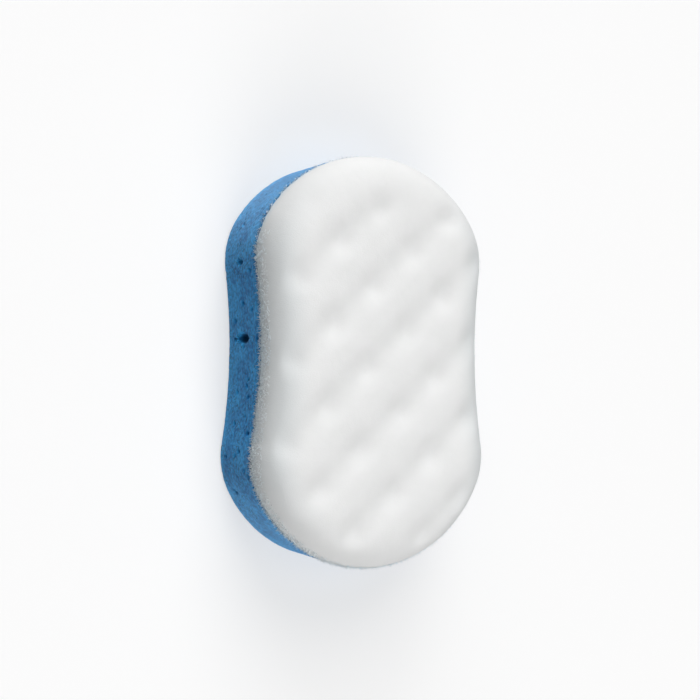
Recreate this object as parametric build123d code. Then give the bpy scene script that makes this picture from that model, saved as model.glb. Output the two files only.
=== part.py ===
"""Bath sponge: a blue foam slab bonded to a white egg-crate massage layer.

Both layers share one two-lobed outline. The sponge lies on its blue face:
X is across, Y is along, Z is up, and the origin is at the middle of the
underside. All sizes are in millimetres.
"""

from build123d import *
import math
import os

# Outline, seen from above. Each end is one arc, each side one shallow hollow.
length = 145.0
head_half_width = 44.6  # where the end arc of the head meets the side
foot_half_width = 45.7
waist_half_width = 41.9
head_shoulder_y = 39.5  # how far from the middle the head is widest
foot_shoulder_y = 35.9
corner_radius = 28.0  # blends an end arc into a side

# Layers, from the underside up.
blue_thickness = 27.6
white_thickness = 14.4  # up to the tops of the bumps
edge_radius = 15.0  # round upper edge of the white layer
blank_spare = 1.4  # thickness over the bumps that the egg-crate cut takes away

# Egg-crate relief: slanting ridges, dented all along, so that bumps and hollows alternate
# like the squares of a chessboard.
bump_spacing = 14.1  # from a bump to the next hollow, along a row of the chessboard
ridge_depth = 1.5  # from the top of a ridge to the bottom of the groove beside it
dent_depth = 0.5  # from a bump on a ridge to the dent after it
relief_turn = -5.0  # degrees, of the rows about Z
relief_hollow_x = -7.8  # middle of one hollow, from which the pattern is counted
relief_hollow_y = -2.3
ridge_wave_points = 8  # points that the spline of one wave goes through
dent_wave_points = 4

# The largest share of its wall that a round edge may take.
edge_share = 0.95


def make_outline() -> Sketch:
    """Two-lobed outline: two end arcs and two waist arcs, with blended corners."""
    head_y = length / 2
    with BuildSketch() as outline:
        with BuildLine():
            ThreePointArc(
                (head_half_width, head_shoulder_y), (0, head_y), (-head_half_width, head_shoulder_y)
            )
            ThreePointArc(
                (-head_half_width, head_shoulder_y),
                (-waist_half_width, 0),
                (-foot_half_width, -foot_shoulder_y),
            )
            ThreePointArc(
                (-foot_half_width, -foot_shoulder_y), (0, -head_y), (foot_half_width, -foot_shoulder_y)
            )
            ThreePointArc(
                (foot_half_width, -foot_shoulder_y), (waist_half_width, 0), (head_half_width, head_shoulder_y)
            )
        make_face()
        fillet(outline.vertices(), corner_radius)
    return outline.sketch


def wave(reach: float, depth: float, points: int) -> list[tuple[float, float]]:
    """Points of a cosine line with a hollow at its middle, as distances and heights.

    The line runs along a diagonal of the chessboard, where hollows follow each other at the
    root of two times the bump spacing.
    """
    step = math.sqrt(2) * bump_spacing / points
    steps = math.ceil(reach / step)
    return [(i * step, -depth / 2 * math.cos(2 * math.pi * i / points)) for i in range(-steps, steps + 1)]


def make_egg_crate_waste(outline: Sketch) -> Part:
    """All that stands above the egg-crate: a profile with the dents, carried along a path with the ridges.

    Profile and path run along the two diagonals of the chessboard, and the profile
    stays upright and parallel to itself, so the heights of the two waves add up.
    """
    reach = outline.bounding_box().diagonal / 2 + math.hypot(relief_hollow_x, relief_hollow_y)
    waste_height = 2 * (white_thickness + blank_spare)
    dents = wave(reach, dent_depth, dent_wave_points)
    lower_edge = Spline(*[(distance, 0, height) for distance, height in dents])
    start, end = lower_edge @ 0, lower_edge @ 1
    upper_edges = Polyline(end, (end.X, 0, waste_height), (start.X, 0, waste_height), start)
    ridges = wave(reach, ridge_depth, ridge_wave_points)
    path = Spline(*[(0, distance, height) for distance, height in ridges])
    profile = Pos(path @ 0) * make_face(lower_edge + upper_edges)
    waste = sweep(profile, path=path, normal=(0, 1, 0))
    middle_height = blue_thickness + white_thickness - (ridge_depth + dent_depth) / 2
    return Pos(relief_hollow_x, relief_hollow_y, middle_height) * Rot(Z=45 + relief_turn) * waste


def make_blue_layer(outline: Sketch) -> Part:
    """Flat slab with upright walls."""
    return extrude(outline, blue_thickness)


def make_white_layer(outline: Sketch) -> Part:
    """Slab with a round upper edge, less all that stands above the egg-crate surface."""
    blank_height = white_thickness + blank_spare
    blank = extrude(Pos(0, 0, blue_thickness) * outline, blank_height)
    blank = fillet(blank.faces().sort_by(Axis.Z)[-1].edges(), min(edge_radius, edge_share * blank_height))
    return blank - make_egg_crate_waste(outline)


outline = make_outline()
os.makedirs("parts", exist_ok=True)
export_step(make_blue_layer(outline), "parts/blue_foam_layer.step")
export_step(make_white_layer(outline), "parts/white_massage_layer.step")
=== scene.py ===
"""Looks of a bath sponge: a blue foam slab bonded to a white egg-crate massage layer.

The sponge lies on its blue face. X is across, Y is along and Z is up, in the frame of the
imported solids. Sizes are in millimetres until a mesh, a lamp or a material takes them in metres.
"""

import logging
import math
from dataclasses import dataclass, field
from enum import Enum

import bpy
import numpy as np
from mathutils import Matrix, Vector


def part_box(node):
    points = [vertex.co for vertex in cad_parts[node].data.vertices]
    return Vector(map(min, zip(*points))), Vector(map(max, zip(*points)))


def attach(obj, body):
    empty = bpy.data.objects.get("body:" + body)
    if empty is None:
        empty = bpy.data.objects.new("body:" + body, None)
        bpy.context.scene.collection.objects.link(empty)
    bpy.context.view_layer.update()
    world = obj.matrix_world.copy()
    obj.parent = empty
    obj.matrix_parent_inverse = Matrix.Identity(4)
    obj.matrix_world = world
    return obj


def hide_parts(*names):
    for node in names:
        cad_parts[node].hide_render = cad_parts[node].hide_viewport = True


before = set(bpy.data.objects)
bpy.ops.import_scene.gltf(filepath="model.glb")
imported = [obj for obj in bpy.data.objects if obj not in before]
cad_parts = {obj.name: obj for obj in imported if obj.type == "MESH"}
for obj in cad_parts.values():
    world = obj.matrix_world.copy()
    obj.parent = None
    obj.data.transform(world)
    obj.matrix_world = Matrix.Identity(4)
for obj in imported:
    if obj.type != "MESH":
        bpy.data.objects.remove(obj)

LOG = logging.getLogger("bath_sponge")
MM = 0.001  # metres in a millimetre
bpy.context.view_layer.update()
HASH_PRIMES = np.array([73856093, 19349663, 83492791])  # spread lattice points over a table
LAYER_SHIFT = 17.3  # from one layer of noise to the next, so that their lattices don't line up
SECTORS = 8  # stations on the first ring of a disc, and how many more each next ring has
Colour = tuple[float, float, float]
Pair = tuple[float, float]
Socket = bpy.types.NodeSocket


class Node(Enum):
    """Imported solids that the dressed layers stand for."""

    BLUE = "blue_foam_layer"
    WHITE = "white_massage_layer"


class Side(Enum):
    """Way that the round face of a layer looks: the white one up, the blue one down."""

    UP = 1
    DOWN = -1


def smooth_step(low: float, high: float, values: np.ndarray) -> np.ndarray:
    """Eases from 0 at low to 1 at high: three times the share's square less twice its cube."""
    share = np.clip((values - low) / (high - low), 0.0, 1.0)
    return share * share * (3.0 - 2.0 * share)


# ---- noise


@dataclass(frozen=True)
class Noise:
    """Smooth seeded noise: random values at whole-number points, blended between them."""

    height: float
    period: float
    seed: int
    layers: int = 1
    shift: float = 0.0  # keeps the lattices of two noises with one seed apart
    table_size: int = 1 << 16

    def _values(self, cells: np.ndarray) -> np.ndarray:
        """Random value from -1 to 1 of each lattice point, by a hash of its three numbers."""
        table = np.random.default_rng(self.seed).uniform(-1.0, 1.0, self.table_size)
        mixed = np.bitwise_xor.reduce(cells * HASH_PRIMES, axis=-1)
        return table[mixed & (self.table_size - 1)]

    def _layer(self, scaled: np.ndarray) -> np.ndarray:
        """One layer: the eight lattice values round each point, weighted by a quintic ease."""
        cell = np.floor(scaled).astype(np.int64)
        part = scaled - cell
        ease = part**3 * (part * (6.0 * part - 15.0) + 10.0)
        total = np.zeros(len(scaled))
        for corner in np.ndindex(2, 2, 2):
            step = np.array(corner)
            weight = np.prod(np.where(step == 1, ease, 1.0 - ease), axis=1)
            total += weight * self._values(cell + step)
        return total

    def at(self, points: np.ndarray) -> np.ndarray:
        """Noise: a sum of layers, each with half of the period and weight of the one before.

        Args:
            points: places in space, one row each.

        Returns:
            One value for each point, from about minus the height to the height.
        """
        places = points + self.shift
        total = np.zeros(len(points))
        for layer in range(self.layers):
            scaled = (places + LAYER_SHIFT * layer) / (self.period / 2**layer)
            total += self._layer(scaled) / 2**layer
        return self.height * (total / (2.0 - 0.5 ** (self.layers - 1)))


# ---- outline


@dataclass(frozen=True)
class Arc:
    """Circular arc in plan, run through by the length along it."""

    centre: Pair
    radius: float
    start: float  # angle of the first point
    sweep: float  # angle covered, more than zero where the arc turns left

    @classmethod
    def between(cls, centre: np.ndarray, first: np.ndarray, last: np.ndarray) -> "Arc":
        """Shorter arc round a centre from one point to another, its sweep signed by its turn."""
        start = math.atan2(*(first - centre)[::-1])
        end = math.atan2(*(last - centre)[::-1])
        sweep = (end - start + math.pi) % (2 * math.pi) - math.pi
        return cls(tuple(centre), float(np.hypot(*(first - centre))), start, sweep)

    @property
    def length(self) -> float:
        """Length along the arc."""
        return abs(self.sweep) * self.radius

    def mirrored(self) -> "Arc":
        """Same arc on the other side of the long axis, run through the other way."""
        start = math.pi - self.start - self.sweep
        return Arc((-self.centre[0], self.centre[1]), self.radius, start, self.sweep)

    def at(self, along: np.ndarray) -> tuple[np.ndarray, np.ndarray]:
        """Points, the centre plus radius times (cosine, sine) of the angle, and left normals."""
        turn = math.copysign(1.0, self.sweep)
        angle = self.start + turn * along / self.radius
        ray = np.stack([np.cos(angle), np.sin(angle)], axis=1)
        return np.array(self.centre) + self.radius * ray, -turn * ray


def circle_through(a: np.ndarray, b: np.ndarray, c: np.ndarray) -> tuple[np.ndarray, float]:
    """Centre and radius of the circle through three points, equally far from all of them."""
    rows = 2.0 * np.array([b - a, c - a])
    centre = np.linalg.solve(rows, np.array([b @ b - a @ a, c @ c - a @ a]))
    return centre, float(np.hypot(*(a - centre)))


@dataclass(frozen=True)
class Outline:
    """Two-lobed outline of both layers: two end arcs, two hollow waist arcs, blended corners."""

    length: float = 145.0
    head_half_width: float = 44.6
    foot_half_width: float = 45.7
    waist_half_width: float = 41.9
    head_shoulder_y: float = 39.5
    foot_shoulder_y: float = 35.9
    corner_radius: float = 28.0

    def _end(
        self, half_width: float, shoulder: float, waist: tuple[np.ndarray, float]
    ) -> list[np.ndarray]:
        """Points of one end on the right side, with a corner arc tangent to the end and the waist.

        The corner's centre is where two circles cross: one round the end's centre, smaller by
        the corner radius, and one round the waist's centre, larger by it.

        Args:
            half_width: half of the width where the end meets the side.
            shoulder: signed place of that meeting along the sponge.
            waist: centre and radius of the waist arc.

        Returns:
            End centre, apex, tangent point on the end, corner centre, tangent point on the waist.
        """
        tip = math.copysign(self.length / 2, shoulder)
        rise = abs(tip - shoulder)
        radius = (half_width**2 + rise**2) / (2 * rise)
        centre = np.array([0.0, math.copysign(self.length / 2 - radius, shoulder)])
        waist_centre, waist_radius = waist
        near, far = radius - self.corner_radius, waist_radius + self.corner_radius
        apart = float(np.hypot(*(waist_centre - centre)))
        axis = (waist_centre - centre) / apart
        along = (near**2 - far**2 + apart**2) / (2 * apart)
        aside = math.sqrt(near**2 - along**2)
        normal = np.array([-axis[1], axis[0]])
        crossings = [centre + along * axis + sign * aside * normal for sign in (1, -1)]
        corner = max(crossings, key=lambda point: point[1] * math.copysign(1.0, shoulder))
        from_end, from_waist = corner - centre, corner - waist_centre
        on_end = centre + from_end / np.hypot(*from_end) * radius
        on_waist = waist_centre + from_waist / np.hypot(*from_waist) * waist_radius
        return [centre, np.array([0.0, tip]), on_end, corner, on_waist]

    def arcs(self) -> list[Arc]:
        """Ten arcs, each tangent to the next, counterclockwise from the middle of the foot."""
        waist = circle_through(
            np.array([self.head_half_width, self.head_shoulder_y]),
            np.array([self.waist_half_width, 0.0]),
            np.array([self.foot_half_width, -self.foot_shoulder_y]),
        )
        head = self._end(self.head_half_width, self.head_shoulder_y, waist)
        foot = self._end(self.foot_half_width, -self.foot_shoulder_y, waist)
        right = [
            Arc.between(foot[0], foot[1], foot[2]),
            Arc.between(foot[3], foot[2], foot[4]),
            Arc.between(waist[0], foot[4], head[4]),
            Arc.between(head[3], head[4], head[2]),
            Arc.between(head[0], head[2], head[1]),
        ]
        return right + [arc.mirrored() for arc in reversed(right)]

    def stations(self, count: int) -> tuple[np.ndarray, np.ndarray]:
        """Points evenly spaced round the outline, and their unit normals that point inward."""
        arcs = self.arcs()
        ends = np.cumsum([arc.length for arc in arcs])
        along = np.arange(count) / count * ends[-1]
        points = np.zeros((count, 2))
        inward = np.zeros((count, 2))
        for arc, end in zip(arcs, ends):
            here = (along < end) & (along >= end - arc.length)
            points[here], inward[here] = arc.at(along[here] - (end - arc.length))
        return points, inward


# ---- shells


def ring_start(ring: int) -> int:
    """Number of a disc ring's first vertex: the middle and all smaller rings come before it."""
    return 1 + SECTORS * ring * (ring - 1) // 2


@dataclass
class Shell:
    """Closed soft block made of rings: a disc of rings round the middle, bands over the edge and
    down the wall, and one flat cap on the bonded side.

    Ring number k of the disc has k stations in each of its eight sectors, so its cells stay even
    right to the middle.
    """

    outline: Outline
    rings: tuple[int, int, int]  # of the disc, over the edge and along the wall
    side: Side
    points: list[np.ndarray] = field(default_factory=list)
    normals: list[np.ndarray] = field(default_factory=list)

    def fill(self, face: float, radius: float, bond: float) -> None:
        """Adds all rings: a flat face, a quarter circle over its edge and an upright wall.

        Args:
            face: height of the flat face.
            radius: radius of the quarter circle.
            bond: height where the wall ends.
        """
        self.disc(radius, face)
        inwards = -self.side.value
        for tilt in np.linspace(0.0, math.pi / 2, self.rings[1] + 1)[1:]:
            height = face + inwards * radius * (1.0 - math.cos(tilt))
            self.ring(radius * (1.0 - math.sin(tilt)), height, tilt)
        for height in np.linspace(face + inwards * radius, bond, self.rings[2] + 1)[1:]:
            self.ring(0.0, height, math.pi / 2)

    @property
    def ring_size(self) -> int:
        """Stations on the last ring of the disc and on each ring after it."""
        return SECTORS * self.rings[0]

    def disc(self, inset: float, height: float) -> None:
        """Flat disc inside the outline: ring k of n is the inset outline scaled by k over n."""
        rows = [np.array([[0.0, 0.0, height]])]
        for ring in range(1, self.rings[0] + 1):
            edge, inward = self.outline.stations(SECTORS * ring)
            plan = (edge + inset * inward) * ring / self.rings[0]
            rows.append(np.column_stack([plan, np.full(len(plan), height)]))
        self.points.extend(rows)
        upright = np.array([0.0, 0.0, float(self.side.value)])
        self.normals.append(np.tile(upright, (sum(len(row) for row in rows), 1)))

    def ring(self, inset: float, height: float, tilt: float) -> None:
        """One ring parallel to the outline, with normals that tilt away from the vertical."""
        edge, inward = self.outline.stations(self.ring_size)
        plan = edge + inset * inward
        self.points.append(np.column_stack([plan, np.full(len(plan), height)]))
        upright = np.full(len(plan), math.cos(tilt) * self.side.value)
        self.normals.append(np.column_stack([-math.sin(tilt) * inward, upright]))

    def arrays(self) -> tuple[np.ndarray, np.ndarray]:
        """Points and normals of the whole shell, one row each."""
        return np.concatenate(self.points), np.concatenate(self.normals)

    def polygons(self) -> list[np.ndarray]:
        """Rows of vertex numbers, faces outwards: the disc's triangles, the quads and the cap."""
        fan = np.arange(SECTORS)
        triangles = [np.column_stack([np.zeros(SECTORS, int), 1 + fan, 1 + (fan + 1) % SECTORS])]
        triangles += [self._disc_band(ring) for ring in range(2, self.rings[0] + 1)]
        count = sum(len(row) for row in self.points)
        first, size = ring_start(self.rings[0]), self.ring_size
        here = np.arange(size)
        after = (here + 1) % size
        band = np.column_stack([here, here + size, after + size, after])
        starts = np.arange(first, count - size, size)
        quads = (starts[:, None, None] + band).reshape(-1, 4)
        cap = (count - 1 - here)[None, :]
        groups = [np.concatenate(triangles), quads, cap]
        return groups if self.side is Side.UP else [group[:, ::-1] for group in groups]

    @staticmethod
    def _disc_band(ring: int) -> np.ndarray:
        """Triangles between one ring of the disc and the next smaller one, sector by sector."""
        below = ring - 1
        sector = np.repeat(np.arange(SECTORS), ring)
        place = np.tile(np.arange(ring), SECTORS)
        outer, outer_next = (
            ring_start(ring) + (sector * ring + place + step) % (SECTORS * ring) for step in (0, 1)
        )
        inner, inner_next = (
            ring_start(below) + (sector * below + place + step) % (SECTORS * below)
            for step in (0, 1)
        )
        wide = np.column_stack([inner, outer, outer_next])
        narrow = np.column_stack([inner, outer_next, inner_next])[place < below]
        return np.concatenate([wide, narrow])


def build_mesh(
    name: str,
    points: np.ndarray,
    polygons: list[np.ndarray],
    values: dict[str, np.ndarray],
    finish: bpy.types.Material,
) -> bpy.types.Object:
    """Mesh object in metres from arrays.

    Args:
        name: name of the object and its mesh.
        points: vertices in millimetres.
        polygons: groups of faces, each with one number of corners.
        values: point attributes by name, one number for each vertex.
        finish: material of all faces.

    Returns:
        The object, linked to the scene, smooth all over.
    """
    corners = np.concatenate([group.ravel() for group in polygons])
    sizes = np.concatenate([np.full(len(group), group.shape[1]) for group in polygons])
    mesh = bpy.data.meshes.new(name)
    mesh.vertices.add(len(points))
    mesh.vertices.foreach_set("co", (points * MM).astype(np.float32).ravel())
    mesh.loops.add(len(corners))
    mesh.loops.foreach_set("vertex_index", corners.astype(np.int32))
    mesh.polygons.add(len(sizes))
    mesh.polygons.foreach_set("loop_start", (np.cumsum(sizes) - sizes).astype(np.int32))
    mesh.polygons.foreach_set("use_smooth", np.ones(len(sizes), bool))
    mesh.update(calc_edges=True)
    for label, numbers in values.items():
        attribute = mesh.attributes.new(label, "FLOAT", "POINT")
        attribute.data.foreach_set("value", numbers.astype(np.float32))
    mesh.materials.append(finish)
    piece = bpy.data.objects.new(name, mesh)
    bpy.context.scene.collection.objects.link(piece)
    return piece


# ---- material nodes

WHITE = (1.0, 1.0, 1.0)
CELLS = "Cells per Metre"  # socket of both node groups
MIX_SHARE, MIX_FIRST, MIX_SECOND, MIX_RESULT = 0, 6, 7, 2  # sockets of a Mix node for colours
PATCH_EDGES = (0.35, 0.65)  # of the slow noise, from no patch to a whole one
PORE_RIM = (0.42, 0.16)  # distance from a pore's middle, in cells, from rim to floor
GRAIN_EDGES = (0.3, 0.7)  # of the noises of grain and tone, from none to full


@dataclass
class NodeSheet:
    """Adds nodes to one tree and joins them."""

    tree: bpy.types.NodeTree

    def add(self, kind: str, inputs: dict | None = None, **settings: object) -> bpy.types.Node:
        """Adds a node.

        Args:
            kind: type of the node, without its ShaderNode prefix.
            inputs: values or sockets for its inputs, by name or number.
            settings: properties of the node.

        Returns:
            The node.
        """
        node = self.tree.nodes.new(kind if kind.startswith("Node") else "ShaderNode" + kind)
        for label, value in settings.items():
            setattr(node, label, value)
        for label, value in (inputs or {}).items():
            if isinstance(value, Socket):
                self.tree.links.new(value, node.inputs[label])
            else:
                node.inputs[label].default_value = value
        return node

    def math(self, operation: str, first: object, second: object, clamp: bool = False) -> Socket:
        """Result of a Math node, kept from 0 to 1 where it is clamped."""
        node = self.add("Math", {0: first, 1: second}, operation=operation, use_clamp=clamp)
        return node.outputs[0]

    def scaled(self, value: object, factor: object) -> Socket:
        """Product of two values."""
        return self.math("MULTIPLY", value, factor)

    def ease(self, value: object, low: float, high: float) -> Socket:
        """Smooth step of a value, from 0 at low to 1 at high."""
        node = self.add("MapRange", {0: value, 1: low, 2: high}, interpolation_type="SMOOTHSTEP")
        return node.outputs[0]

    def mix(self, share: object, first: object, second: object) -> Socket:
        """Colour that goes from the first to the second with the share."""
        first, second = (
            (*value, 1.0) if isinstance(value, tuple) else value for value in (first, second)
        )
        inputs = {MIX_SHARE: share, MIX_FIRST: first, MIX_SECOND: second}
        return self.add("Mix", inputs, data_type="RGBA").outputs[MIX_RESULT]

    def attribute(self, name: str) -> Socket:
        """Value of a point attribute."""
        return self.add("Attribute", attribute_name=name).outputs["Fac"]


def new_material(name: str) -> tuple[bpy.types.Material, NodeSheet]:
    """Material without nodes, and the sheet that adds them."""
    made = bpy.data.materials.new(name)
    made.use_nodes = True
    made.node_tree.nodes.clear()
    return made, NodeSheet(made.node_tree)


def new_group(
    name: str, inputs: dict[str, float], outputs: list[str]
) -> tuple[NodeSheet, bpy.types.Node, bpy.types.Node]:
    """Sheet, input node and output node of an empty shader node group with number sockets."""
    tree = bpy.data.node_groups.new(name, "ShaderNodeTree")
    for label, value in inputs.items():
        socket = tree.interface.new_socket(label, in_out="INPUT", socket_type="NodeSocketFloat")
        socket.default_value = value
    for label in outputs:
        tree.interface.new_socket(label, in_out="OUTPUT", socket_type="NodeSocketFloat")
    sheet = NodeSheet(tree)
    return sheet, sheet.add("NodeGroupInput"), sheet.add("NodeGroupOutput")


def foam_pores_group() -> bpy.types.NodeTree:
    """Group: open pores round scattered points, thinned out in patches.

    Each point draws a lot. It has a pore where the lot is under the cover less the patch.

    Returns:
        The group, with Cells per Metre, Cover and Patches in, and Pores and Height out.
    """
    inputs = {CELLS: 900.0, "Cover": 0.4, "Patches": 0.5}
    sheet, given, result = new_group("foam_pores", inputs, ["Pores", "Height"])
    place = sheet.add("TexCoord").outputs["Object"]
    scale = given.outputs[CELLS]
    cells = sheet.add("TexVoronoi", {"Vector": place, "Scale": scale})
    patch = sheet.add("TexNoise", {"Vector": place, "Scale": 110.0, "Detail": 2.0})
    bare = sheet.math("SUBTRACT", 1.0, sheet.ease(patch.outputs["Fac"], *PATCH_EDGES))
    thinned = sheet.scaled(bare, given.outputs["Patches"])
    chance = sheet.math("SUBTRACT", given.outputs["Cover"], thinned, clamp=True)
    lot = sheet.add("SeparateColor", {"Color": cells.outputs["Color"]}).outputs["Red"]
    drawn = sheet.math("GREATER_THAN", chance, lot)
    pores = sheet.scaled(sheet.ease(cells.outputs["Distance"], *PORE_RIM), drawn)
    sheet.tree.links.new(pores, result.inputs["Pores"])
    sheet.tree.links.new(sheet.math("SUBTRACT", 1.0, pores), result.inputs["Height"])
    return sheet.tree


def foam_grain_group() -> bpy.types.NodeTree:
    """Group: fine open-cell grain over slow changes of tone.

    Returns:
        The group, with Cells per Metre in, and Tone, Grain and Height out.
    """
    outputs = ["Tone", "Grain", "Height"]
    sheet, given, result = new_group("foam_grain", {CELLS: 2200.0}, outputs)
    place = sheet.add("TexCoord").outputs["Object"]
    scale = given.outputs[CELLS]
    slow = sheet.add("TexNoise", {"Vector": place, "Scale": 90.0, "Detail": 3.0, "Roughness": 0.6})
    fine = sheet.add("TexNoise", {"Vector": place, "Scale": scale, "Detail": 2.0})
    cells = sheet.add("TexVoronoi", {"Vector": place, "Scale": scale})
    walls = sheet.scaled(cells.outputs["Distance"], 0.6)
    tone = sheet.ease(slow.outputs["Fac"], *GRAIN_EDGES)
    grain = sheet.ease(fine.outputs["Fac"], *GRAIN_EDGES)
    height = sheet.math("ADD", walls, fine.outputs["Fac"])
    for name, value in zip(outputs, (tone, grain, height)):
        sheet.tree.links.new(value, result.inputs[name])
    return sheet.tree


@dataclass(frozen=True)
class FoamGroups:
    """Node groups that both foams use."""

    pores: bpy.types.NodeTree
    grain: bpy.types.NodeTree


@dataclass(frozen=True)
class Skin:
    """Matt skin of a foam: a faint sheen, and cells that show as bumps."""

    roughness: float
    specular: float
    sheen_roughness: float
    bump: float
    bump_depth: float  # in metres
    sheen_tint: Colour = WHITE
    sheen: float = 0.15

    def add_to(self, sheet: NodeSheet, colour: object, height: object) -> None:
        """Adds the shader, bumpy by the height, and the output of the material."""
        bump = {"Strength": self.bump, "Distance": self.bump_depth, "Height": height}
        values = {
            "Base Color": colour,
            "Roughness": self.roughness,
            "Specular IOR Level": self.specular,
            "Normal": sheet.add("Bump", bump).outputs[0],
            "Sheen Weight": self.sheen,
            "Sheen Roughness": self.sheen_roughness,
            "Sheen Tint": (*self.sheen_tint, 1.0),
        }
        surface = sheet.add("BsdfPrincipled", values).outputs[0]
        sheet.add("OutputMaterial", {"Surface": surface})


@dataclass(frozen=True)
class BlueFoam:
    """Open-cell blue sponge foam: mottled, speckled with pores, with painted shade in the deep
    holes.
    """

    name: str = "blue_foam"
    skin: Skin = Skin(
        roughness=0.92, specular=0.15, sheen_roughness=0.5, bump=0.7, bump_depth=0.0005,
        sheen_tint=(0.9, 0.95, 1.0),
    )
    body: Colour = (0.010, 0.175, 0.49)
    pale: Colour = (0.055, 0.47, 0.96)
    pore: Colour = (0.004, 0.09, 0.20)
    painted_light_tint: Colour = (0.30, 0.52, 0.78)  # painted light: a pale sheen on the lit rounded ends, and bounce light low on the wall
    # Painted shade: the colour inside the holes, where shade falls.
    deep: Colour = (0.0, 0.07, 0.17)
    grain_cells: float = 850.0  # grains in a metre, as for pores and specks
    pore_cells: float = 620.0
    pore_cover: float = 0.42
    pore_share: float = 0.8  # darkness of a pore, where a speck has 1
    speck_cells: float = 1050.0
    speck_cover: float = 0.75
    speck_patches: float = 0.95
    tone_share: float = 0.5
    tone_start: float = 0.2  # taken off the tone, so that its dark parts show the plain body
    grain_share: float = 0.8
    # Painted light: floor bounce makes the bottom of the wall paler.
    floor_bounce_pale: float = 0.55
    lit_ends_tint: float = 0.3
    floor_bounce_tint: float = 0.06
    dark_share: float = 0.8  # of the pores' and specks' colour
    lit_ends_clear: float = 0.4  # taken off it at the ends, where the painted sheen pales the pores
    hole_shade_edges: Pair = (0.02, 0.7)  # of a hole's depth, from plain to the whole painted shade
    pore_relief: float = 0.7
    grain_relief: float = 0.45

    def material(self, groups: FoamGroups) -> bpy.types.Material:
        """Material of the blue layer.

        Args:
            groups: node groups of pores and grain.

        Returns:
            The material. The point attribute "hole" paints shade inside the holes and "seam"
            darkens it along the bond; "ends" paints a pale sheen on the lit ends and "hem" paints
            floor bounce light low on the wall.
        """
        made, sheet = new_material(self.name)
        hole, seam, ends, floor_bounce = map(sheet.attribute, ("hole", "seam", "ends", "floor_bounce"))
        grain = sheet.add("Group", {CELLS: self.grain_cells}, node_tree=groups.grain).outputs
        look = {CELLS: self.pore_cells, "Cover": self.pore_cover}
        pores = sheet.add("Group", look, node_tree=groups.pores).outputs
        look = {CELLS: self.speck_cells, "Cover": self.speck_cover, "Patches": self.speck_patches}
        specks = sheet.add("Group", look, node_tree=groups.pores).outputs
        tone = sheet.scaled(grain["Tone"], self.tone_share)
        tone = sheet.math("SUBTRACT", tone, self.tone_start)
        tone = sheet.math("ADD", tone, sheet.scaled(grain["Grain"], self.grain_share))
        # Painted light: paler low on the wall, where the floor bounces light.
        tone = sheet.math("ADD", tone, sheet.scaled(floor_bounce, self.floor_bounce_pale), clamp=True)
        colour = sheet.mix(tone, self.body, self.pale)
        # Painted light: a pale sheen where the lamps light the ends, and floor bounce low on the
        # wall.
        painted_light_share = sheet.scaled(ends, self.lit_ends_tint)
        painted_light_share = sheet.math("ADD", painted_light_share, sheet.scaled(floor_bounce, self.floor_bounce_tint))
        colour = sheet.mix(painted_light_share, colour, self.painted_light_tint)
        dark = sheet.scaled(pores["Pores"], self.pore_share)
        dark = sheet.math("MAXIMUM", dark, specks["Pores"])
        depth = sheet.math("SUBTRACT", self.dark_share, sheet.scaled(ends, self.lit_ends_clear))
        colour = sheet.mix(sheet.scaled(dark, depth), colour, self.pore)
        seam = sheet.math("MULTIPLY", seam, grain["Grain"], clamp=True)
        colour = sheet.mix(seam, colour, self.pore)
        # Painted shade inside the holes, by the point attribute hole.
        colour = sheet.mix(sheet.ease(hole, *self.hole_shade_edges), colour, self.deep)
        height = sheet.scaled(pores["Height"], self.pore_relief)
        relief = sheet.scaled(grain["Height"], self.grain_relief)
        self.skin.add_to(sheet, colour, sheet.math("ADD", height, relief))
        return made


@dataclass(frozen=True)
class WhiteFoam:
    """Fine dense white foam, with a bluer, frayed cut edge above the bond that is partly painted
    shade.
    """

    name: str = "white_foam"
    skin: Skin = Skin(
        roughness=0.88, specular=0.2, sheen_roughness=0.6, bump=0.25, bump_depth=0.0002
    )
    body: Colour = (0.86, 0.863, 0.861)
    shade: Colour = (0.84, 0.845, 0.841)
    # Painted shade: darker, cooler white on the shoulder of the long sides.
    flank_shade: Colour = (0.72, 0.746, 0.752)
    # Partly painted shade: the cut edge's own bluer tint, darkened for the shade of the wall above
    # the bond.
    cut_edge_and_shade: Colour = (0.54, 0.70, 0.80)
    grain_cells: float = 2600.0
    streak_cells: float = 1500.0
    streak_flatness: float = 0.4  # of the noise's height, which draws the streaks out upwards
    streak_edges: Pair = (0.36, 0.62)
    frayed_share: float = 0.6  # of the cut edge's colour, in the streaks only

    def material(self, groups: FoamGroups) -> bpy.types.Material:
        """Material of the white layer.

        Args:
            groups: node groups of pores and grain.

        Returns:
            The material. The point attribute "edge" marks the cut edge above the bond, its own
            bluer colour partly darkened by painted shade, and "flank" paints shade on the round
            shoulder of the long sides.
        """
        made, sheet = new_material(self.name)
        grain = sheet.add("Group", {CELLS: self.grain_cells}, node_tree=groups.grain).outputs
        colour = sheet.mix(grain["Tone"], self.body, self.shade)
        # Painted shade on the shoulder of the long sides.
        colour = sheet.mix(sheet.attribute("flank_shade"), colour, self.flank_shade)
        place = sheet.add("TexCoord").outputs["Object"]
        drawn_out = {"Vector": place, "Scale": (1.0, 1.0, self.streak_flatness)}
        noise = {"Vector": sheet.add("Mapping", drawn_out).outputs[0], "Scale": self.streak_cells}
        streaks = sheet.add("TexNoise", {**noise, "Detail": 2.0, "Roughness": 0.6}).outputs["Fac"]
        frayed = sheet.ease(streaks, *self.streak_edges)
        frayed = sheet.scaled(frayed, self.frayed_share)
        frayed = sheet.math("ADD", frayed, 1.0 - self.frayed_share)
        # Cut edge: its own bluer, frayed colour, and partly painted shade of the wall.
        edge = sheet.math("MULTIPLY", sheet.attribute("edge"), frayed, clamp=True)
        colour = sheet.mix(edge, colour, self.cut_edge_and_shade)
        self.skin.add_to(sheet, colour, grain["Height"])
        return made


# ---- layers

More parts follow.
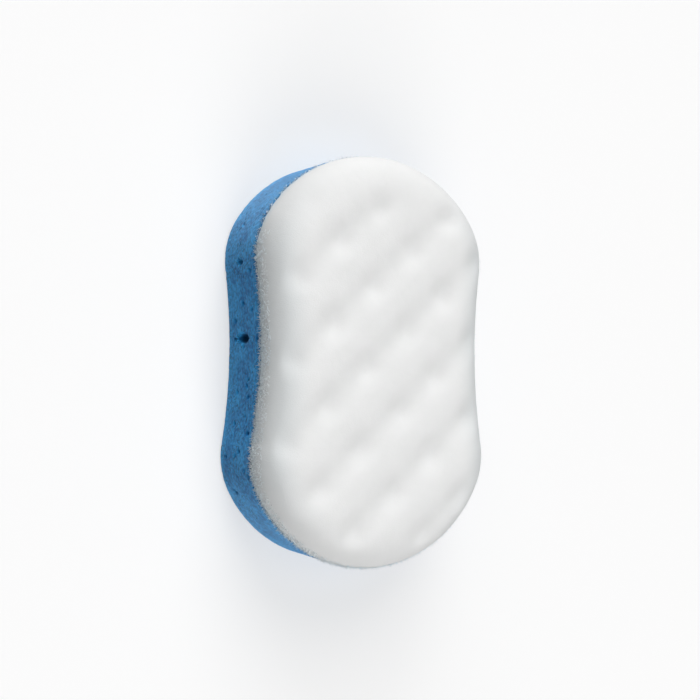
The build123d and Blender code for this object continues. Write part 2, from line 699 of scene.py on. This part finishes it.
TINY = 1e-6  # keeps a division from failing where a normal is upright
ASLANT = 0.3  # of upwards, added to sideways for a direction that isn't a fibre's own
CORNER_TURNS = (0.0, 2 * math.pi / 3, 4 * math.pi / 3)
SPIKE_FACES = np.array([[0, 2, 1], [0, 1, 3], [1, 2, 3], [2, 0, 3]])


@dataclass(frozen=True)
class Bond:
    """Ragged line where the two layers meet, the same for both."""

    height: float
    reach: float = 2.5  # how far up and down the wall the raggedness dies away
    sag: float = 1.0  # dip of the bond on the left side, towards the foot
    sag_place: float = -24.0
    sag_spread: float = 16.0
    sag_blend: float = 10.0  # half of the width over which the sag comes in
    fine: Noise = Noise(height=0.45, period=1.1, seed=11)
    slow: Noise = Noise(height=0.3, period=6.0, seed=12)

    def ragged(self, points: np.ndarray) -> np.ndarray:
        """Rise of the wall at the bond: fine and slow noise less a bell-shaped sag, fading off it.

        Args:
            points: vertices of a layer.

        Returns:
            Height to add to each vertex.
        """
        round_line = points * np.array([1.0, 1.0, 0.0])
        rise = self.fine.at(round_line) + self.slow.at(round_line)
        left = smooth_step(self.sag_blend, -self.sag_blend, points[:, 0])
        along = (points[:, 1] - self.sag_place) / self.sag_spread
        rise -= self.sag * left * np.exp(-(along**2))
        away = np.abs(points[:, 2] - self.height)
        return rise * np.exp(-((away / self.reach) ** 2))

    def near(self, points: np.ndarray, width: float) -> np.ndarray:
        """Share from 1 on the bond to 0 away from it: a bell of the given width."""
        return np.exp(-(((points[:, 2] - self.height) / width) ** 2))


@dataclass(frozen=True)
class EggCrate:
    """Relief of level ridges that slant across the sponge, with pits along the grooves.

    Seen along the sponge, ridges and pits take turns like the squares of a chessboard.
    """

    spacing: float = 14.1  # side of a square of the chessboard
    groove_depth: float = 1.05
    pit_depth: float = 1.7  # below the groove
    groove_power: float = 1.6  # over 1, the grooves are slimmer than the ridges
    pit_power: float = 1.8
    turn: float = math.radians(-5.0)  # of the chessboard
    hollow: Pair = (-7.8, -2.3)  # middle of one of the pits
    fade_from: float = 46.0  # along the sponge, where the relief starts to die away to the head
    fade_to: float = 64.0
    drift: Noise = Noise(height=0.08, period=24.0, seed=21)

    def drop(self, points: np.ndarray) -> np.ndarray:
        """Depth below the ridges: a power of a raised cosine across them, and a power of its
        product with one along them.

        Args:
            points: vertices of the white layer.

        Returns:
            Depth at each vertex.
        """
        slant = self.turn + math.pi / 4
        way = points[:, :2] - np.array(self.hollow)
        along = way @ np.array([math.cos(slant), math.sin(slant)])
        across = way @ np.array([-math.sin(slant), math.cos(slant)])
        pitch = 2 * math.pi / (math.sqrt(2) * self.spacing)
        valley = 0.5 + 0.5 * np.cos(pitch * across)
        dip = 0.5 + 0.5 * np.cos(pitch * along)
        depth = self.groove_depth * valley**self.groove_power
        depth += self.pit_depth * (valley * dip) ** self.pit_power
        depth *= smooth_step(self.fade_to, self.fade_from, points[:, 1])
        return depth * (1.0 + self.drift.at(points))


@dataclass
class WhiteLayer:
    """White massage layer: egg-crate top, round shoulder, short wall and ragged lower edge."""

    outline: Outline
    bond: Bond
    top: float
    shoulder: float = 15.0
    spare: float = 1.4  # height of the shoulder's circle over the solid's top
    blend: float = 4.5  # height over which the relief melts into the shoulder
    rings: tuple[int, int, int] = (104, 40, 4)  # of the disc, over the shoulder, down the wall
    relief: EggCrate = EggCrate()
    wave: Noise = Noise(height=0.05, period=9.0, seed=31, layers=2)
    nap: Noise = Noise(height=0.025, period=1.6, seed=31, layers=2, shift=50.0)
    crease: float = 0.2  # depth of the crease along the bond
    crease_width: float = 0.35
    cut_over: Pair = (4.5, -1.5)  # heights over the bond, from no cut edge to all, its darkness partly painted shade
    cut_along: Pair = (-75.0, -35.0)  # from its least share, at the foot, to all
    cut_least: float = 0.3
    flank_shade_tilt: float = math.radians(50.0)  # where the painted shade of the long sides' shoulder is whole

    def pressed(self, points: np.ndarray) -> np.ndarray:
        """Heights under the relief: the lower of smooth form and egg-crate, with a round crossing.

        The egg-crate is first raised by what the rounding takes from it, so that over the flat
        middle the result is the egg-crate itself.

        Args:
            points: vertices of the smooth form.

        Returns:
            Height of each vertex.
        """
        smooth = points[:, 2]
        under = self.spare + self.relief.drop(points)
        relief = self.top + self.spare - self.blend * (2.0 * np.sqrt(under / self.blend) - 1.0)
        share = np.clip(0.5 + 0.5 * (smooth - relief) / self.blend, 0.0, 1.0)
        return smooth + share * (relief - smooth) - self.blend * share * (1.0 - share)

    def build(self, finish: bpy.types.Material) -> bpy.types.Object:
        """Dressed layer: the smooth form pushed along its normals by noise, then pressed down.

        The painted shade of the long sides' shoulder is the sideways part of a normal, to the
        fourth power, where the surface tilts.

        Args:
            finish: material of the white foam.

        Returns:
            The piece, in place of its solid.
        """
        shell = Shell(self.outline, self.rings, Side.UP)
        shell.fill(self.top + self.spare, self.shoulder, self.bond.height)
        points, normals = shell.arrays()
        push = self.wave.at(points) + self.nap.at(points)
        push -= self.crease * self.bond.near(points, self.crease_width)
        moved = points + normals * push[:, None]
        moved[:, 2] += self.pressed(points) - points[:, 2] + self.bond.ragged(points)
        # Mask of the cut edge, partly painted shade of the wall above the bond.
        edge = smooth_step(*self.cut_over, points[:, 2] - self.bond.height)
        whole = smooth_step(*self.cut_along, points[:, 1])
        edge *= whole * (1.0 - self.cut_least) + self.cut_least
        # Painted shade: a mask of the long sides' shoulder, where less light falls.
        level = np.hypot(normals[:, 0], normals[:, 1])
        sideways = normals[:, 0] / np.maximum(level, TINY)
        tilt = np.arctan2(level, normals[:, 2])
        flank_shade = smooth_step(0.0, self.flank_shade_tilt, tilt) * sideways**4
        values = {"edge": edge, "flank_shade": flank_shade}
        return build_mesh("white_foam_block", moved, shell.polygons(), values, finish)


@dataclass
class TornEdge:
    """Short foam fibres that stand out of the cut wall of the white layer, just above the bond."""

    layer: WhiteLayer
    count: int = 9000  # of places, some of which stay bare
    start: float = -0.6  # height over the bond where the first fibres stand
    reach: float = 6.5  # from there to the last ones
    crowding: float = 1.5  # over 1, they stand closer near the bond
    bare_from: float = 40.0  # place along the sponge past which the wall is smooth
    bare_over: float = 6.0  # half of the length over which they thin out
    fringe: float = 0.04  # share of the reach, at its start, where they go all the way round
    sunk: float = 0.2  # depth of the roots in the wall
    thickness: Pair = (0.08, 0.14)  # least and most radius of a root
    span: Pair = (0.7, 1.7)  # least and most length
    buried: float = 0.3  # added to the span for the part in the wall
    outwards: Pair = (0.2, 0.6)  # least and most share of a fibre's way
    upwards: Pair = (-0.6, 1.0)
    sideways: float = 0.55  # usual share, to either side
    seed: int = 51

    def build(self, finish: bpy.types.Material) -> bpy.types.Object:
        """Fibres as slim three-sided spikes: a small triangle in the wall and a point out of it.

        Their roots follow the wall and, higher up, the shoulder's circle: the inset is its radius
        less the root of the radius squared less the height squared. Each spike's way is a random
        sum of outwards, upwards and sideways.

        Args:
            finish: material of the white foam.

        Returns:
            The piece.
        """
        draw = np.random.default_rng(self.seed)
        bond, layer = self.layer.bond, self.layer
        edge, inward = layer.outline.stations(self.count)
        thin_from, thin_to = self.bare_from - self.bare_over, self.bare_from + self.bare_over
        torn = smooth_step(thin_to, thin_from, edge[:, 1])
        chance = draw.uniform(0.0, 1.0, self.count)
        order = draw.permutation(self.count)
        place, outward = edge[order], -inward[order]
        share = draw.uniform(0.0, 1.0, self.count) ** self.crowding
        keep = (chance[order] < torn[order]) | (share < self.fringe)
        height = bond.height + self.start + self.reach * share
        over = np.clip(height - (layer.top + layer.spare - layer.shoulder), 0.0, None)
        inset = self.sunk + layer.shoulder - np.sqrt(layer.shoulder**2 - over**2)
        root = np.column_stack([place - inset[:, None] * outward, height])
        root[:, 2] += bond.ragged(root)
        side = np.column_stack([-outward[:, 1], outward[:, 0], np.zeros(self.count)])
        out = np.column_stack([outward, np.zeros(self.count)])
        up = np.array([0.0, 0.0, 1.0])
        lean = draw.normal(0.0, self.sideways, self.count)[:, None]
        rise = draw.uniform(*self.upwards, self.count)[:, None]
        way = out * draw.uniform(*self.outwards, self.count)[:, None] + up * rise + side * lean
        way /= np.linalg.norm(way, axis=1)[:, None]
        first = np.cross(way, side + ASLANT * up)
        first /= np.linalg.norm(first, axis=1)[:, None]
        second = np.cross(way, first)
        radius = draw.uniform(*self.thickness, self.count)[:, None]
        span = draw.uniform(*self.span, self.count)[:, None]
        corners = [
            root + radius * (math.cos(turn) * first + math.sin(turn) * second)
            for turn in CORNER_TURNS
        ]
        spikes = np.stack([*corners, root + way * (span + self.buried)], axis=1)[keep]
        roots = 4 * np.arange(len(spikes))[:, None, None]
        faces = (roots + SPIKE_FACES[None]).reshape(-1, 3)
        values = dict.fromkeys(("edge", "flank_shade"), np.zeros(4 * len(spikes)))
        return build_mesh("white_foam_fibres", spikes.reshape(-1, 3), [faces], values, finish)


@dataclass(frozen=True)
class Hole:
    """Open pore in the blue wall: where it is, how wide along and up the wall, and how deep."""

    centre: tuple[float, float, float]
    half_length: float
    half_height: float
    depth: float


@dataclass
class BlueLayer:
    """Blue sponge layer: flat foot, upright wall with open pores, and ragged upper edge."""

    outline: Outline
    bond: Bond
    edge_round: float = 1.2
    rings: tuple[int, int, int] = (104, 5, 54)  # of the disc, over the edge, up the wall
    wave: Noise = Noise(height=0.16, period=7.0, seed=41, layers=3)
    nap: Noise = Noise(height=0.06, period=1.1, seed=41)
    wall_from: Pair = (0.5, 2.0)  # heights where the wall's waves come in
    foot_top: float = 0.01  # height up to which the foot may not bulge
    crease: float = 0.45  # depth of the crease along the bond
    crease_width: float = 0.5
    seam_width: float = 1.6  # of the dark along the bond
    lit_ends_along: Pair = (28.0, 66.0)  # from plain wall to the painted sheen of the lit ends
    lit_ends_share: Pair = (1.3, 0.9)  # of painted sheen at the head, which is lit more, and at the foot
    floor_bounce_top: float = 6.0  # height where the painted floor bounce light ends
    bowl_power: float = 0.9  # under 1, a pore's sides are steeper
    full_shade_depth: float = 3.2  # of a pore whose painted shade is whole all through
    scattered: int = 150
    scatter_seed: int = 42
    scatter_size: Pair = (0.6, 1.0)  # least and most half length
    scatter_height: Pair = (0.8, 1.4)  # shares of the half length
    scatter_depth: Pair = (0.6, 1.1)
    spared_rings: int = 4  # below the bond, without scattered pores
    # Larger pores on the left wall: place along, height, half length, half height, depth.
    wall_holes: tuple[tuple[float, float, float, float, float], ...] = (
        (8.0, 13.0, 2.0, 5.0, 3.5),
        (7.5, 25.0, 1.2, 1.5, 1.5),
        (34.5, 14.0, 1.2, 2.5, 1.5),
        (-12.5, 19.5, 0.7, 1.0, 1.0),
        (-25.0, 21.5, 1.0, 1.5, 1.0),
        (-34.0, 5.5, 0.7, 1.0, 0.8),
        (-33.0, 13.5, 0.7, 1.0, 0.8),
        (20.0, 14.0, 0.7, 1.0, 0.8),
        (18.0, 21.0, 0.7, 1.0, 0.8),
    )

    def holes(self, points: np.ndarray) -> list[Hole]:
        """Pores centred on vertices: placed ones on the left wall, smaller ones all over."""
        wall = points[(points[:, 0] < 0) & (points[:, 2] > self.edge_round)]
        found = []
        for along, height, half_length, half_height, depth in self.wall_holes:
            away = np.hypot(wall[:, 1] - along, wall[:, 2] - height)
            found.append(Hole(tuple(wall[np.argmin(away)]), half_length, half_height, depth))
        draw = np.random.default_rng(self.scatter_seed)
        outside = points[: -self.spared_rings * SECTORS * self.rings[0]]
        for centre in outside[draw.integers(0, len(outside), self.scattered)]:
            size = draw.uniform(*self.scatter_size)
            half_height = size * draw.uniform(*self.scatter_height)
            depth = size * draw.uniform(*self.scatter_depth)
            found.append(Hole(tuple(centre), size, half_height, depth))
        return found

    def build(self, finish: bpy.types.Material) -> bpy.types.Object:
        """Dressed layer: the smooth form pushed along its normals by noise, less the pores.

        A pore is a bowl: its depth times a power of one less its squared distance from the middle.

        Args:
            finish: material of the blue foam.

        Returns:
            The piece, in place of its solid.
        """
        shell = Shell(self.outline, self.rings, Side.DOWN)
        shell.fill(0.0, self.edge_round, self.bond.height)
        points, normals = shell.arrays()
        hole_shade_share = np.zeros(len(points))
        dent = np.zeros(len(points))
        for hole in self.holes(points):
            scale = np.array([hole.half_length, hole.half_length, hole.half_height])
            away = np.sum(((points - hole.centre) / scale) ** 2, axis=1)
            bowl = np.clip(1.0 - away, 0.0, 1.0) ** self.bowl_power
            dent = np.maximum(dent, hole.depth * bowl)
            hole_shade_share = np.maximum(hole_shade_share, bowl * min(1.0, hole.depth / self.full_shade_depth))
        push = smooth_step(*self.wall_from, points[:, 2]) * self.wave.at(points)
        push += self.nap.at(points) - dent
        push = np.where(points[:, 2] < self.foot_top, np.minimum(push, 0.0), push)
        push -= self.crease * self.bond.near(points, self.crease_width)
        moved = points + normals * push[:, None]
        moved[:, 2] += self.bond.ragged(points)
        # Painted light: a pale sheen on the lit head and foot ends.
        ends = smooth_step(*self.lit_ends_along, np.abs(points[:, 1]))
        values = {
            "hole": hole_shade_share,
            "seam": self.bond.near(points, self.seam_width),
            "ends": ends * np.where(points[:, 1] > 0.0, *self.lit_ends_share),
            # Painted light: floor bounce low on the wall.
            "floor_bounce": smooth_step(self.floor_bounce_top, 0.0, points[:, 2]),
        }
        return build_mesh("blue_foam_block", moved, shell.polygons(), values, finish)


# ---- studio


@dataclass(frozen=True)
class SunLamp:
    """Soft distant lamp."""

    name: str
    towards: tuple[float, float, float]  # from the sponge to the lamp
    level: float  # share of white that it gives to a white surface that faces it
    softness: float = math.radians(40.0)

    def build(self) -> None:
        """Adds the lamp. Its strength is pi times the level."""
        ray = Vector(self.towards).normalized()
        lamp = bpy.data.lights.new(self.name, "SUN")
        lamp.energy = math.pi * self.level
        lamp.angle = self.softness
        holder = bpy.data.objects.new(self.name, lamp)
        holder.matrix_world = ray.to_track_quat("Z", "Y").to_matrix().to_4x4()
        bpy.context.scene.collection.objects.link(holder)


@dataclass(frozen=True)
class Studio:
    """Pale floor, soft light and the camera that looks down on the lying sponge."""

    thickness: float
    sky: float = 0.05
    floor_half: float = 1500.0
    floor_albedo: float = 0.35
    floor_glow: float = 0.5  # share of plain white that the camera sees: the shadow is pale
    camera_tilt: float = 0.502  # away from straight above, towards the left side
    camera_pitch: float = -0.011
    camera_roll: float = -0.006
    distance: float = 450.0
    lens: float = 64.4
    sensor: float = 36.0
    aside: Pair = (3.20, -4.21)  # of the sponge in the frame, right and up
    lamps: tuple[SunLamp, ...] = (
        SunLamp("head_low_lamp", (-0.12, 0.97, 0.22), 0.54),
        SunLamp("head_high_lamp", (0.0, 0.76, 0.65), 0.44),
        SunLamp("foot_low_lamp", (-0.12, -0.97, 0.22), 0.22),
        SunLamp("foot_high_lamp", (0.0, -0.78, 0.62), 0.36),
        SunLamp("top_lamp", (0.08, 0.0, 1.0), 0.2),
    )

    def camera(self) -> None:
        """Adds the camera, at its distance along a way given by tilt and pitch, rolled about it."""
        tilt, pitch, roll = self.camera_tilt, self.camera_pitch, self.camera_roll
        level = math.cos(pitch)
        back = Vector((-math.sin(tilt) * level, math.sin(pitch), math.cos(tilt) * level))
        level_right = Vector((0.0, 1.0, 0.0)).cross(back).normalized()
        level_up = back.cross(level_right)
        right = math.cos(roll) * level_right - math.sin(roll) * level_up
        up = math.sin(roll) * level_right + math.cos(roll) * level_up
        middle = Vector((0.0, 0.0, self.thickness / 2))
        place = middle + self.distance * back - self.aside[0] * right - self.aside[1] * up
        camera = bpy.data.cameras.new("camera")
        camera.lens = self.lens
        camera.sensor_width = self.sensor
        holder = bpy.data.objects.new("camera", camera)
        turn = Matrix((right, up, back)).transposed().to_4x4()
        holder.matrix_world = Matrix.Translation(place * MM) @ turn
        bpy.context.scene.collection.objects.link(holder)
        bpy.context.scene.camera = holder

    def world(self) -> None:
        """Plain sky that lights the sponge, and shows as white where the camera sees it."""
        world = bpy.data.worlds.new("studio")
        world.use_nodes = True
        world.node_tree.nodes.clear()
        sheet = NodeSheet(world.node_tree)
        strength = sheet.add("MapRange", {0: self._seen(sheet), 3: self.sky, 4: 1.0}).outputs[0]
        sky = sheet.add("Background", {"Color": (*WHITE, 1.0), "Strength": strength})
        sheet.add("OutputWorld", {"Surface": sky.outputs[0]})
        bpy.context.scene.world = world

    @staticmethod
    def _seen(sheet: NodeSheet) -> Socket:
        """One for camera, glossy and transmission rays, and zero for light that falls on things."""
        path = sheet.add("LightPath").outputs
        shiny = sheet.math("MAXIMUM", path["Is Glossy Ray"], path["Is Transmission Ray"])
        return sheet.math("MAXIMUM", path["Is Camera Ray"], shiny)

    def floor(self) -> None:
        """Adds the floor: white to the camera, and duller for the light that it sends back.

        To the camera it also glows a little, which keeps the sponge's shadow pale.
        """
        made, sheet = new_material("studio_floor")
        colour = sheet.mix(self._seen(sheet), (self.floor_albedo,) * 3, WHITE)
        matt = sheet.add("BsdfDiffuse", {"Color": colour})
        white = sheet.add("Emission", {"Color": (*WHITE, 1.0), "Strength": 1.0})
        share = sheet.scaled(self._seen(sheet), self.floor_glow)
        both = sheet.add("MixShader", {0: share, 1: matt.outputs[0], 2: white.outputs[0]})
        sheet.add("OutputMaterial", {"Surface": both.outputs[0]})
        square = [[-1.0, -1.0, 0.0], [1.0, -1.0, 0.0], [1.0, 1.0, 0.0], [-1.0, 1.0, 0.0]]
        corners = self.floor_half * np.array(square)
        floor = build_mesh("studio_floor", corners, [np.array([[0, 1, 2, 3]])], {}, made)

    def build(self) -> None:
        """Adds camera, world, floor and lamps."""
        self.camera()
        self.world()
        self.floor()
        for lamp in self.lamps:
            lamp.build()
        bpy.context.scene.view_settings.view_transform = "Standard"


# ---- assembly


def settle(piece: bpy.types.Object, node: Node) -> None:
    """Args:
        piece: dressed layer.
        node: solid that it stands for.
    """
    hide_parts(node.value)
    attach(piece, "root")
    LOG.info("%s: %d faces, in place of %s", piece.name, len(piece.data.polygons), node.value)


def main() -> None:
    """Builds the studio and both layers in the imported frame."""
    logging.basicConfig(level=logging.INFO, format="%(name)s: %(message)s")
    bond_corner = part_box(Node.BLUE.value)[1]
    top_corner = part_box(Node.WHITE.value)[1]
    top = top_corner.z / MM
    outline, bond = Outline(), Bond(height=bond_corner.z / MM)
    Studio(thickness=top).build()
    groups = FoamGroups(foam_pores_group(), foam_grain_group())
    blue = BlueLayer(outline, bond).build(BlueFoam().material(groups))
    settle(blue, Node.BLUE)
    white_layer = WhiteLayer(outline, bond, top)
    white = white_layer.build(WhiteFoam().material(groups))
    settle(white, Node.WHITE)
    # Fibres: a lighter, bluer copy of the white foam; the bluish tint is their own, the extra
    # lightness is painted light against the shade among them.
    lit_fibre_foam = WhiteFoam("white_fibres", body=(0.93, 0.98, 1.0), shade=(0.80, 0.90, 0.96))
    fibres = TornEdge(white_layer).build(lit_fibre_foam.material(groups))
    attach(fibres, "root")
    LOG.info("%s: %d faces, on the wall of %s", fibres.name, len(fibres.data.polygons), white.name)


if __name__ == "__main__":
    main()
